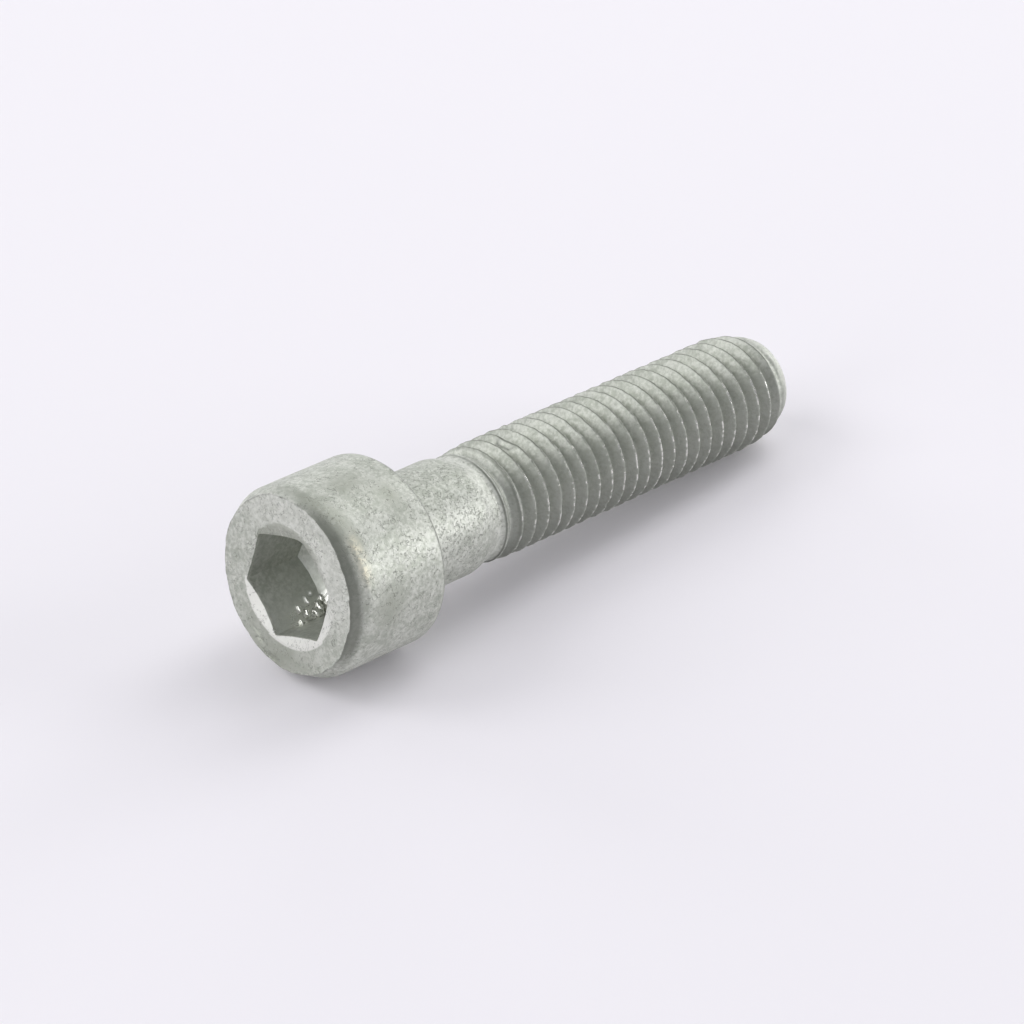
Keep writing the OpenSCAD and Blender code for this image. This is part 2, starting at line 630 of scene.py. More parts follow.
@dataclass
class DriveSocket:
    """The punched hexagon with its coned bottom, its uneven mouth and the coating pooled in a corner."""

    sizes: ScrewSizes
    clear: float = 1.0
    side_points: int = 12
    # The corners as the worn punch left them, each a little off the regular hexagon of the 8 mm key
    corners: tuple[SocketCorner, ...] = (
        SocketCorner(4.95, 13.0, 0.16),
        SocketCorner(4.70, 75.5, 0.14),
        SocketCorner(4.74, 135.0, 0.20),
        SocketCorner(4.80, 197.0, 0.62),
        SocketCorner(4.67, 255.0, 0.20),
        SocketCorner(4.86, 314.0, 0.16),
    )
    # Angle and outer radius of the shallow lead-in, which is missing on one side
    lead_in: tuple[tuple[float, float], ...] = (
        (13, 5.12), (44, 5.05), (75, 4.72), (88, 4.3), (105, 4.05), (122, 4.3), (138, 4.85), (166, 5.18),
        (197, 5.08), (226, 4.95), (255, 4.98), (284, 5.08), (314, 5.1), (343, 5.14),
    )
    # The upset lip that leans over the wall: its side of the hexagon, how far it leans, and its height
    lip_side: int = 3
    lip_lean: float = 0.2
    lip_height: float = 0.5
    # Stretch of that side over which it leans, as its start and its length
    lip_reach: tuple[float, float] = (0.2, 0.75)
    wall_marks: float = 0.014
    mark_seed: int = 11
    cone_steps: int = 144
    # Radius of the end that closes a cone, small enough to vanish
    point_r: float = 0.02
    drop_thick: float = 0.3
    drops: tuple[Drop, ...] = (
        Drop(16, 4.72, -5.1, 0.55, 0.34),
        Drop(21, 4.56, -4.6, 0.60, 0.26),
        Drop(30, 4.28, -5.5, 0.50, 0.16),
        Drop(19, 4.62, -6.0, 0.45, 0.22),
        Drop(35, 4.20, -4.8, 0.30, 0.20),
        Drop(13, 4.86, -7.0, 0.36, 0.15),
        Drop(26, 4.34, -4.1, 0.40, 0.24),
        Drop(25, 4.40, -6.6, 0.42, 0.12),
    )

    def outline(self, lean: float) -> np.ndarray:
        """Lay out the punched hexagon.

        Args:
            lean: How far the lip leans inwards at this depth.

        Returns:
            Its points in order round the axis.
        """
        marks = np.random.default_rng(self.mark_seed)
        lip_start, lip_length = self.lip_reach
        points = []
        for i, corner in enumerate(self.corners):
            before = self.corners[i - 1].point()
            after = self.corners[(i + 1) % 6].point()
            here = corner.point()
            start = here + (before - here) / np.linalg.norm(before - here) * corner.reach
            end = here + (after - here) / np.linalg.norm(after - here) * corner.reach
            for t in (0, 1 / 3, 2 / 3, 1):
                points.append(start * (1 - t) ** 2 + here * 2 * t * (1 - t) + end * t * t)
            far = self.corners[(i + 1) % 6]
            goal = after + (here - after) / np.linalg.norm(here - after) * far.reach
            inward = np.array([end[1] - goal[1], goal[0] - end[0]]) / np.linalg.norm(goal - end)
            for k in range(1, self.side_points + 1):
                t = k / (self.side_points + 1)
                off = self.wall_marks * marks.uniform(-1, 1)
                if i == self.lip_side:
                    off += lean * math.sin(math.pi * min(max((t - lip_start) / lip_length, 0), 1)) ** 2
                points.append(end + (goal - end) * t + inward * off)
        return np.array(points)

    def build_hexagon(self) -> bpy.types.Object:
        """Make the tool that cuts the hexagon: a prism of the punched outline with a coned end.

        Returns:
            A closed solid.
        """
        z = self.sizes
        point_h = self.corners[0].radius / math.tan(math.radians(z.socket_point / 2))
        front = -z.head_h
        rings = [
            (front - self.clear, self.lip_lean),
            (front + self.lip_height * 0.6, self.lip_lean),
            (front + self.lip_height, 0.0),
            (front + z.socket_depth + point_h + self.clear, 0.0),
        ]
        count = 6 * (self.side_points + 4)
        deselect_all()
        bpy.ops.mesh.primitive_circle_add(
            vertices=count,
            radius=self.corners[0].radius,
            fill_type="NGON",
            location=(0, 0, rings[0][0]),
        )
        prism = bpy.context.object
        bpy.ops.object.mode_set(mode="EDIT")
        bpy.ops.mesh.select_all(action="SELECT")
        for (low, _), (high, _) in zip(rings, rings[1:]):
            bpy.ops.mesh.extrude_region_move(TRANSFORM_OT_translate={"value": (0, 0, high - low)})
        bpy.ops.mesh.select_all(action="SELECT")
        bpy.ops.mesh.normals_make_consistent(inside=False)
        bpy.ops.object.mode_set(mode="OBJECT")
        bpy.ops.object.transform_apply(location=True, rotation=True, scale=True)
        points = points_of(prism.data)
        _, angle, s = polar(points)
        place = np.rint(angle * count / 360).astype(int) % count
        for height, lean in rings:
            here = np.abs(s - height) < 0.01
            points[here, :2] = self.outline(lean)[place[here]]
        move_points(prism.data, points)

        wide = self.corners[0].radius + self.clear
        edge_s = front + z.socket_depth - self.clear / math.tan(math.radians(z.socket_point / 2))
        punch = turn_outline(
            "punch_end",
            [
                (wide, front - 2 * self.clear),
                (wide, edge_s),
                (self.point_r, front + z.socket_depth + point_h),
            ],
            self.cone_steps,
        )
        combine(prism, punch, "INTERSECT")
        return prism

    def build_lead_in(self) -> bpy.types.Object:
        """Make the shallow cone that opens the socket's mouth, wider on some sides than on others.

        Returns:
            A closed solid.
        """
        z = self.sizes
        slope = math.tan(math.radians(z.lead_in_angle / 2))
        cone = turn_outline(
            "lead_in_cone",
            [(1 + self.clear * slope, -z.head_h - self.clear), (1, -z.head_h)],
            self.cone_steps,
        )
        points = points_of(cone.data)
        r, angle, s = polar(points)
        angles, radii = zip(*self.lead_in)
        reach = np.interp(angle, angles, radii, period=360)
        top = s < -z.head_h - self.clear / 2
        # The point of the cone is drawn together under the mouth
        new_r = np.where(top, reach + self.clear * slope, self.point_r)
        points[:, 2] = np.where(top, s, -z.head_h + reach.mean() / slope)
        points[:, :2] *= (new_r / r)[:, None]
        move_points(cone.data, points)
        return cone

    def build_pool(self) -> list[bpy.types.Object]:
        """Make the drops of coating that ran together in the corner nearest the floor.

        Returns:
            The drops, each a closed solid.
        """
        made = []
        for drop in self.drops:
            a = math.radians(drop.angle)
            place = (drop.radius * math.cos(a), drop.radius * math.sin(a), drop.place)
            deselect_all()
            bpy.ops.mesh.primitive_ico_sphere_add(subdivisions=3, radius=1.0, location=place)
            ball = bpy.context.object
            ball.scale = (self.drop_thick, drop.wide, drop.tall)
            ball.rotation_euler = (0, 0, a)
            bpy.ops.object.transform_apply(location=True, rotation=True, scale=True)
            made.append(ball)
        return made


@dataclass
class Wear:
    """Knocks, soft waviness and the masks that the coating reads."""

    sizes: ScrewSizes
    # Heights of the soft waves on the forging, on the thread and on the pooled drops, and their lengths
    waviness: float = 0.012
    wave_mm: tuple[float, float] = (3.1, 1.3)
    thread_waviness: float = 0.04
    thread_wave_mm: tuple[float, float] = (1.0, 0.6)
    pool_waviness: float = 0.05
    pool_wave_mm: float = 0.4
    waves_in_sum: int = 9
    # Radius inside which the forging stays calm, and radii between which the thread starts to be worn
    calm_r: float = 3.2
    lumpy_r: tuple[float, float] = (4.1, 4.6)
    knocked_r: tuple[float, float] = (4.2, 4.6)
    # A knock is cut off at this many times its reach, squared
    knock_end: float = 6
    nicks: int = 150
    nick_seed: int = 7
    dents: tuple[Dent, ...] = (
        Dent(place=14.1, angle=182, reach_along=0.34, reach_round=0.8, depth=0.3),
        Dent(place=16.2, angle=172, reach_along=0.35, reach_round=0.8, depth=0.13),
        Dent(place=20.4, angle=204, reach_along=0.28, reach_round=0.35, depth=0.11),
        Dent(place=25.0, angle=222, reach_along=0.3, reach_round=0.5, depth=0.10),
        Dent(place=31.4, angle=196, reach_along=0.3, reach_round=0.8, depth=0.10),
        Dent(place=36.6, angle=214, reach_along=0.3, reach_round=0.6, depth=0.07),
    )
    gouges: tuple[Gouge, ...] = (
        Gouge(radius=6.2, angle=30, reach_across=0.16, reach_round=0.6, depth=0.2),
        Gouge(radius=6.55, angle=25, reach_across=0.14, reach_round=0.45, depth=0.16),
        Gouge(radius=7.0, angle=12, reach_across=0.22, reach_round=0.6, depth=0.16),
        Gouge(radius=6.5, angle=212, reach_across=0.22, reach_round=0.6, depth=0.12),
        Gouge(radius=6.1, angle=222, reach_across=0.2, reach_round=0.5, depth=0.1),
    )
    smudge_marks: tuple[Smudge, ...] = (
        Smudge(-8.9, 196, 0.45, 26),
        Smudge(-8.2, 205, 0.7, 16),
        Smudge(-7.6, 226, 0.35, 14),
        Smudge(-5.0, 188, 1.6, 9),
        Smudge(-2.6, 206, 0.9, 10),
        Smudge(-6.2, 268, 1.4, 12),
        # This one darkens the lower part of the drive face, next to the floor
        Smudge(-9.7, 10, 0.3, 38),
    )
    dent_rim_width: float = 0.22
    # Middle of the pooled drops in the socket, and how far the pool and its shine reach from it in degrees
    pool_at: tuple[float, float] = (22, 12)
    pool_shine: tuple[float, float] = (19, 11)
    pool_s: float = -5.4
    # Sectors about the axis: the middle, and how far from it each has faded out and is whole
    lower_side: tuple[float, float, float] = (275, 72, 40)
    faint_start: tuple[float, float, float] = (160, 50, 20)
    # Side of the head where painted shade darkens the slope behind the front edge and the crease beside it
    edge_shade_side: tuple[float, float, float] = (250, 70, 40)
    shoulder_side: tuple[float, float, float] = (235, 20, 7)
    # Upper side of the drive face, which painted light brightens
    lit_face_side: tuple[float, float, float] = (215, 95, 45)
    # Socket walls on the floor side, which painted light brightens
    lit_socket_side: tuple[float, float, float] = (350, 84, 20)
    # Side of the socket's mouth whose cone gets a painted highlight
    lit_mouth_side: tuple[float, float, float] = (10, 110, 80)
    # Side of the mouth under the leaning lip, which gets painted shade
    lip_shade_side: tuple[float, float, float] = (165, 70, 40)
    # Lines along a crest: how far from its middle each has faded out and is whole. The two lines along
    # the first crest have their own distance from its middle in front.
    # Painted shade lies in the crest's fold on the upper side, a painted glint on the crest below, and
    # painted shade beside the first crest
    crest_shade_line: tuple[float, float] = (0.11, 0.04)
    glint_line: tuple[float, float] = (0.11, 0.05)
    double_line: tuple[float, float, float] = (0.13, 0.09, 0.03)
    # Bands across one pitch: the middle, and how far from it each has faded out and is whole
    # On the lower side, painted shade darkens the flank that faces the lamps and painted light brightens the
    # flank that faces away
    flank_shade_band: tuple[float, float, float] = (0.27, 0.32, 0.12)
    flank_light_band: tuple[float, float, float] = (0.7, 0.2, 0.07)
    # Lines across the screw: their place and half width
    # Painted shade where the chamfer starts
    chamfer_line: tuple[float, float] = (-0.05, 0.14)
    shoulder_line: tuple[float, float] = (-8.2, 0.4)
    # Painted shade along the head's back edge
    back_edge_shade_line: tuple[float, float] = (-0.26, 0.16)
    # Places between which the painted shade behind the front edge fades in
    edge_shade_s: tuple[float, float] = (-8.65, -9.2)
    # Lines by the drive face's crisp edge: a painted highlight on it, painted shade in the crease outside it,
    # and a dark line on the rim
    edge_highlight_line: EdgeLine = EdgeLine(outside=0.0, width=0.11, start=-1, end=0.12)
    crease_shade_line: EdgeLine = EdgeLine(outside=0.05, width=0.07, start=0.005, end=0.5)
    rim_line: EdgeLine = EdgeLine(outside=-0.02, width=0.05, start=-1, end=0.3)
    # Angles of the shaded wall past the second corner, and middle and half width of the lowest wall, which
    # both get painted shade
    shaded_wall: tuple[float, float, float] = (75.2, 75.8, 150)
    low_wall: tuple[float, float] = (343.5, 29.6)
    # How near to the lead-in's cone a vertex lies on it, and how deep the cone reaches at most
    lead_in_near: float = 0.12
    lead_in_depth: float = 0.6

    def waves(self, points: np.ndarray, size: float, seed: int) -> np.ndarray:
        """Return soft random waves from about -1 to 1 at points.

        Args:
            points: Points in millimetres.
            size: Rough length of a wave.
            seed: Number that sets this pattern apart from others.

        Returns:
            One height for each point.
        """
        chance = np.random.default_rng(seed)
        total = np.zeros(len(points))
        for _ in range(self.waves_in_sum):
            direction = chance.normal(size=3)
            direction /= np.linalg.norm(direction)
            turn = 2 * math.pi / (size * chance.uniform(0.75, 1.35))
            total += np.sin(points @ direction * turn + chance.uniform(0, 2 * math.pi))
        return total / 4

    def knock_shape(self, dent: Dent, r: np.ndarray, angle: np.ndarray, s: np.ndarray) -> np.ndarray:
        """Measure how far points lie from a dent that follows the lean of the thread.

        Args:
            dent: The dent.
            r: Radii of the points.
            angle: Their angles in degrees.
            s: Their places along the axis.

        Returns:
            Distances from its middle, as a share of its reach.
        """
        off = angle_between(angle, dent.angle)
        across = (s - dent.place - self.sizes.pitch * off / 360) / dent.reach_along
        return np.hypot(across, np.radians(off) * r / dent.reach_round)

    def apply(self, body: bpy.types.Object) -> None:
        """Move the surface by the knocks and the waviness.

        Args:
            body: The joined and cut screw, upright.
        """
        z = self.sizes
        points = points_of(body.data)
        r, angle, s = polar(points)
        long_mm, short_mm = self.wave_mm
        wave = 0.6 * self.waves(points, long_mm, 1) + 0.4 * self.waves(points, short_mm, 2)
        free = (r > self.calm_r) & (s < z.run_out_s)
        move = np.where(free, self.waviness * (np.clip(wave, -1, 1) - 1), 0)
        long_mm, short_mm = self.thread_wave_mm
        lumps = 0.5 * self.waves(points, long_mm, 3) + 0.5 * self.waves(points, short_mm, 4)
        rolled = smooth_step(s, z.run_out_s, z.run_out_s + 2)
        rolled = rolled * smooth_step(s, z.length - 0.3, z.length - 0.8) * smooth_step(r, *self.lumpy_r)
        move += self.thread_waviness * (np.clip(lumps, -1, 1) - 1) * rolled
        middle, reach = self.pool_at
        pooled = ridge_at(angle_between(angle, middle), 0, reach) * (np.abs(s - self.pool_s) < 2)
        pooled = pooled * (r > 3.4) * (r < 5)
        move += self.pool_waviness * np.clip(self.waves(points, self.pool_wave_mm, 5), -1, 1) * pooled
        for dent in self.dents + tuple(self.random_nicks()):
            away = self.knock_shape(dent, r, angle, s) ** 2
            move -= dent.depth * np.exp(-away) * smooth_step(r, *self.knocked_r) * (away < self.knock_end)
        points[:, :2] *= ((r + move) / np.maximum(r, 0.001))[:, None]
        for gouge in self.gouges:
            round_ = np.radians(angle_between(angle, gouge.angle)) * r / gouge.reach_round
            away = ((r - gouge.radius) / gouge.reach_across) ** 2 + round_ ** 2
            points[:, 2] += gouge.depth * np.exp(-away) * (s < 0.3 - z.head_h)
        move_points(body.data, points)

    def random_nicks(self) -> list[Dent]:
        """Scatter small nicks along the crest of the thread.

        Returns:
            The nicks.
        """
        z = self.sizes
        chance = np.random.default_rng(self.nick_seed)
        turns = (z.lead_s - z.run_out_s - z.run_out_l) / z.pitch
        nicks = []
        for _ in range(self.nicks):
            angle = chance.uniform(0, 360)
            turn = math.floor(chance.uniform(0, turns)) + 0.5
            place = z.run_out_s + z.run_out_l / 2 + z.pitch * (turn + (angle - z.thread_turn) / 360)
            # The crest nearest to the place that was drawn
            place += z.pitch * (0.5 - float(z.across_pitch(np.array(place), np.array(angle))))
            nicks.append(Dent(place, angle, 0.2, chance.uniform(0.12, 0.4), chance.uniform(0.02, 0.07)))
        return nicks

    def write_masks(self, body: bpy.types.Object) -> None:
        """Write as attributes of the mesh where the coating is marked, worn and pooled, and where light and
        shade are painted.

        Args:
            body: The worn screw, upright.
        """
        spots = polar(points_of(body.data))
        for masks in (self.thread_masks(*spots), self.head_masks(*spots), self.socket_masks(*spots)):
            for name, values in masks.items():
                attribute = body.data.attributes.new(name, "FLOAT", "POINT")
                attribute.data.foreach_set("value", values.astype(np.float32))

    def thread_masks(self, r: np.ndarray, angle: np.ndarray, s: np.ndarray) -> dict[str, np.ndarray]:
        """Work out the masks of the thread, the blank next to it and the shank.

        Args:
            r: Radii of the vertices.
            angle: Their angles in degrees.
            s: Their places along the axis.

        Returns:
            The value of each mask at each vertex.
        """
        z = self.sizes
        threaded = smooth_step(s, z.run_out_s + 0.4, z.run_out_s + 2.5)
        full = threaded * (s < z.chamfer_s)
        across = z.across_pitch(s, angle)
        height = np.clip((r - z.root_r) / (z.thread_r - z.root_r), 0, 1)
        from_crest = np.abs(across - 0.5) * z.pitch
        lower = sector(angle, *self.lower_side)
        below = threaded * lower * smooth_step(s, z.length + 0.2, z.chamfer_s)
        first = smooth_step(s, z.run_out_s, z.run_out_s + 0.4)
        first = first * smooth_step(s, z.run_out_s + 3, z.run_out_s + 1.8)
        first *= 1 - 0.5 * sector(angle, *self.faint_start)
        # Painted shade in the crest's fold on the upper side, on both sides of the first crest, and where the
        # chamfer starts
        crest_shade = full * smooth_step(from_crest, *self.crest_shade_line) * (1 - lower)
        double = first * near(from_crest, *self.double_line)
        from_bend, bend_width = self.chamfer_line
        bend = ridge_at(s, z.chamfer_s + from_bend, bend_width)
        # Painted glint along the crests of the lower side
        glint = full * smooth_step(height, 0.8, 0.95) * lower * smooth_step(from_crest, *self.glint_line)
        return {
            "crest_shade": np.maximum(crest_shade, double) + 0.7 * bend,
            "glint": glint * (s < z.chamfer_s - 0.9),
            # Painted shade in the thread's roots on the upper side
            "groove": full * smooth_step(height, 0.5, 0.0) * (1 - lower),
            # Painted shade on the lit flank and painted light on the shaded flank of the lower side
            "flank_shade": below * near(across, *self.flank_shade_band),
            "thin": below * near(across, *self.flank_light_band),
            # Painted shade round the rim of the deepest dent
            "dent_shade": self.dent_rim(r, angle, s) * threaded,
            "flank": threaded,
            # Painted highlight on the step and the blank
            "blank": smooth_step(s, z.shank_s + 0.2, z.shank_s + 0.9)
            * smooth_step(s, z.run_out_s + 2, z.run_out_s),
            "shank": smooth_step(s, -0.2, 0.6) * smooth_step(s, z.run_out_s + 0.5, z.shank_s),
        }

    def head_masks(self, r: np.ndarray, angle: np.ndarray, s: np.ndarray) -> dict[str, np.ndarray]:
        """Work out the masks of the head's outside.

        Args:
            r: Radii of the vertices.
            angle: Their angles in degrees.
            s: Their places along the axis.

        Returns:
            The value of each mask at each vertex.
        """
        z = self.sizes
        depth = s + z.head_h
        edge = ForgedBlank(z).front_edge(angle)
        on_shaded_side = sector(angle, *self.edge_shade_side)
        on_side = r > z.head_r - 0.4
        lines = {
            name: ridge_at(r, edge + line.outside, line.width) * (depth > line.start) * (depth < line.end)
            for name, line in (
                ("edge_highlight", self.edge_highlight_line), ("crease_shade", self.crease_shade_line), ("rim", self.rim_line)
            )
        }
        return {
            # A painted highlight along the crisp edge, painted shade in the crease outside it on the shaded
            # side, and a dark line on the rim
            "edge_highlight": lines["edge_highlight"] * (1 - on_shaded_side),
            "crease_shade": lines["crease_shade"] * on_shaded_side,
            "rim": lines["rim"] * (1 - on_shaded_side),
            # Painted shade along the head's back edge, and behind the front edge on the shaded side
            "back_edge_shade": ridge_at(s, *self.back_edge_shade_line) * on_side,
            "edge_shade": smooth_step(s, *self.edge_shade_s) * (r > edge - 0.01) * on_shaded_side,
            "shoulder": ridge_at(s, *self.shoulder_line) * on_side * sector(angle, *self.shoulder_side),
            # Painted light on the upper side of the drive face
            "face": (depth < 0.2) * (r > 4) * sector(angle, *self.lit_face_side),
            "smudge": self.smudges(s, angle) * (r > 5),
        }

    def socket_masks(self, r: np.ndarray, angle: np.ndarray, s: np.ndarray) -> dict[str, np.ndarray]:
        """Work out the masks of the socket.

        Args:
            r: Radii of the vertices.
            angle: Their angles in degrees.
            s: Their places along the axis.

        Returns:
            The value of each mask at each vertex.
        """
        z = self.sizes
        front = -z.head_h
        corner_r = DriveSocket(z).corners[0].radius
        cone_s = front + z.socket_depth + (corner_r - r) / math.tan(math.radians(z.socket_point / 2))
        on_cone = near(s, cone_s, 0.2, 0.05)
        inside = smooth_step(r, corner_r + 0.03, corner_r - 0.05)
        inside = inside * smooth_step(s, front + 0.3, front + 0.6) * (s < -1)
        fade_start, fade_end, wall_end = self.shaded_wall
        shaded = smooth_step(angle, fade_start, fade_end) * (angle < wall_end)
        wall_middle, half_wall = self.low_wall
        low = np.abs(angle_between(angle, wall_middle)) < half_wall
        lit_socket_side = sector(angle, *self.lit_socket_side) * (1 - low)
        mouth = self.on_lead_in(r, angle, s)
        middle, reach = self.pool_shine
        return {
            "inside": inside,
            # Painted light on the coned bottom and on the floor side's walls; painted shade on the shaded and
            # lowest walls
            "socket_light": inside * (1 - shaded) * np.maximum(0.5 * on_cone, lit_socket_side),
            "socket_shade": inside * np.maximum(shaded, 0.6 * low) * (1 - on_cone),
            # A painted highlight on the lit side of the mouth's cone, and painted shade under the leaning lip
            "lead_in": mouth * sector(angle, *self.lit_mouth_side),
            "lip_shade": mouth * sector(angle, *self.lip_shade_side),
            "pool": ridge_at(angle_between(angle, middle), 0, reach) * smooth_step(s, -8.2, -7.2) * inside,
        }

    def dent_rim(self, r: np.ndarray, angle: np.ndarray, s: np.ndarray) -> np.ndarray:
        """Return how near each point lies to the outline of the deepest dent, from 0 to 1."""
        return ridge_at(self.knock_shape(self.dents[0], r, angle, s), 1, self.dent_rim_width)

    def on_lead_in(self, r: np.ndarray, angle: np.ndarray, s: np.ndarray) -> np.ndarray:
        """Find the cone round the socket's mouth.

        Args:
            r: Radii of the vertices.
            angle: Their angles in degrees.
            s: Their places along the axis.

        Returns:
            1 on the cone and on its edges, and 0 elsewhere.
        """
        z = self.sizes
        angles, radii = zip(*DriveSocket(z).lead_in)
        reach = np.interp(angle, angles, radii, period=360)
        slope = math.tan(math.radians(z.lead_in_angle / 2))
        cone_r = reach - (s + z.head_h) * slope
        return (np.abs(r - cone_r) < self.lead_in_near) * (s < self.lead_in_depth - z.head_h) * 1.0

    def smudges(self, s: np.ndarray, angle: np.ndarray) -> np.ndarray:
        """Work out how strongly the dark marks darken the head.

        Args:
            s: Places of the vertices along the axis.
            angle: Their angles in degrees.

        Returns:
            A share from 0 to 1 at each vertex.
        """
        total = np.zeros(len(s))
        for mark in self.smudge_marks:
            along = (s - mark.place) / mark.reach_along
            around = angle_between(angle, mark.angle) / mark.reach_round
            total += np.exp(-along ** 2 - around ** 2)
        return np.clip(total, 0, 1)


@dataclass
class CapScrewBody:
    """The whole screw as one closed piece."""

    sizes: ScrewSizes = field(default_factory=ScrewSizes)
    name: str = "cap_screw_body"
    weld: float = 0.002
    smooth_angle: float = 18

    def place(self) -> Matrix:
        """Find how the upright screw lies in the frame.

        Returns:
            The turn, scale and move from millimetres on the upright screw to metres in the frame.
        """
        mounts = {mount["name"]: mount for mount in frame["record"]["mounts"]}
        axis = Vector(mounts["bearing_face"]["axis"]).normalized()
        on_face = Vector(mounts["bearing_face"]["pos_m"])
        on_axis = Vector(mounts["plain_shank"]["pos_m"])
        origin = on_axis - axis * (on_axis - on_face).dot(axis)
        across = Vector((0, 1, 0))
        down = across.cross(axis)
        turn = Matrix((down, across, axis)).transposed().to_4x4()
        return Matrix.Translation(origin) @ turn @ Matrix.Scale(MM, 4)

    def build(self) -> bpy.types.Object:
        """Join the blank and the thread, cut the socket, add the wear and lay the screw down.

        Returns:
            The screw as one closed piece.
        """
        body = ForgedBlank(self.sizes).build()
        combine(body, ThreadedRod(self.sizes).build(), "UNION")
        socket = DriveSocket(self.sizes)
        combine(body, socket.build_hexagon(), "DIFFERENCE")
        combine(body, socket.build_lead_in(), "DIFFERENCE")
        for drop in socket.build_pool():
            combine(body, drop, "UNION")
        body.name = self.name
        body.data.name = self.name
        wear = Wear(self.sizes)
        wear.apply(body)
        wear.write_masks(body)
        activate(body)
        bpy.ops.object.mode_set(mode="EDIT")
        bpy.ops.mesh.select_all(action="SELECT")
        bpy.ops.mesh.remove_doubles(threshold=self.weld)
        bpy.ops.mesh.normals_make_consistent(inside=False)
        bpy.ops.object.mode_set(mode="OBJECT")
        body.data.transform(self.place())
        activate(body)
        bpy.ops.object.shade_smooth_by_angle(angle=math.radians(self.smooth_angle))
        return body

    def dress(self, body: bpy.types.Object) -> None:
        """Coat the screw and name what it replaces and rides on.

        Args:
            body: The finished screw.
        """
        body.data.materials.clear()
        body.data.materials.append(ZincFlakeCoat().material(self.place()))
        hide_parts("cap_screw")
        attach(body, "root")


# Finishes


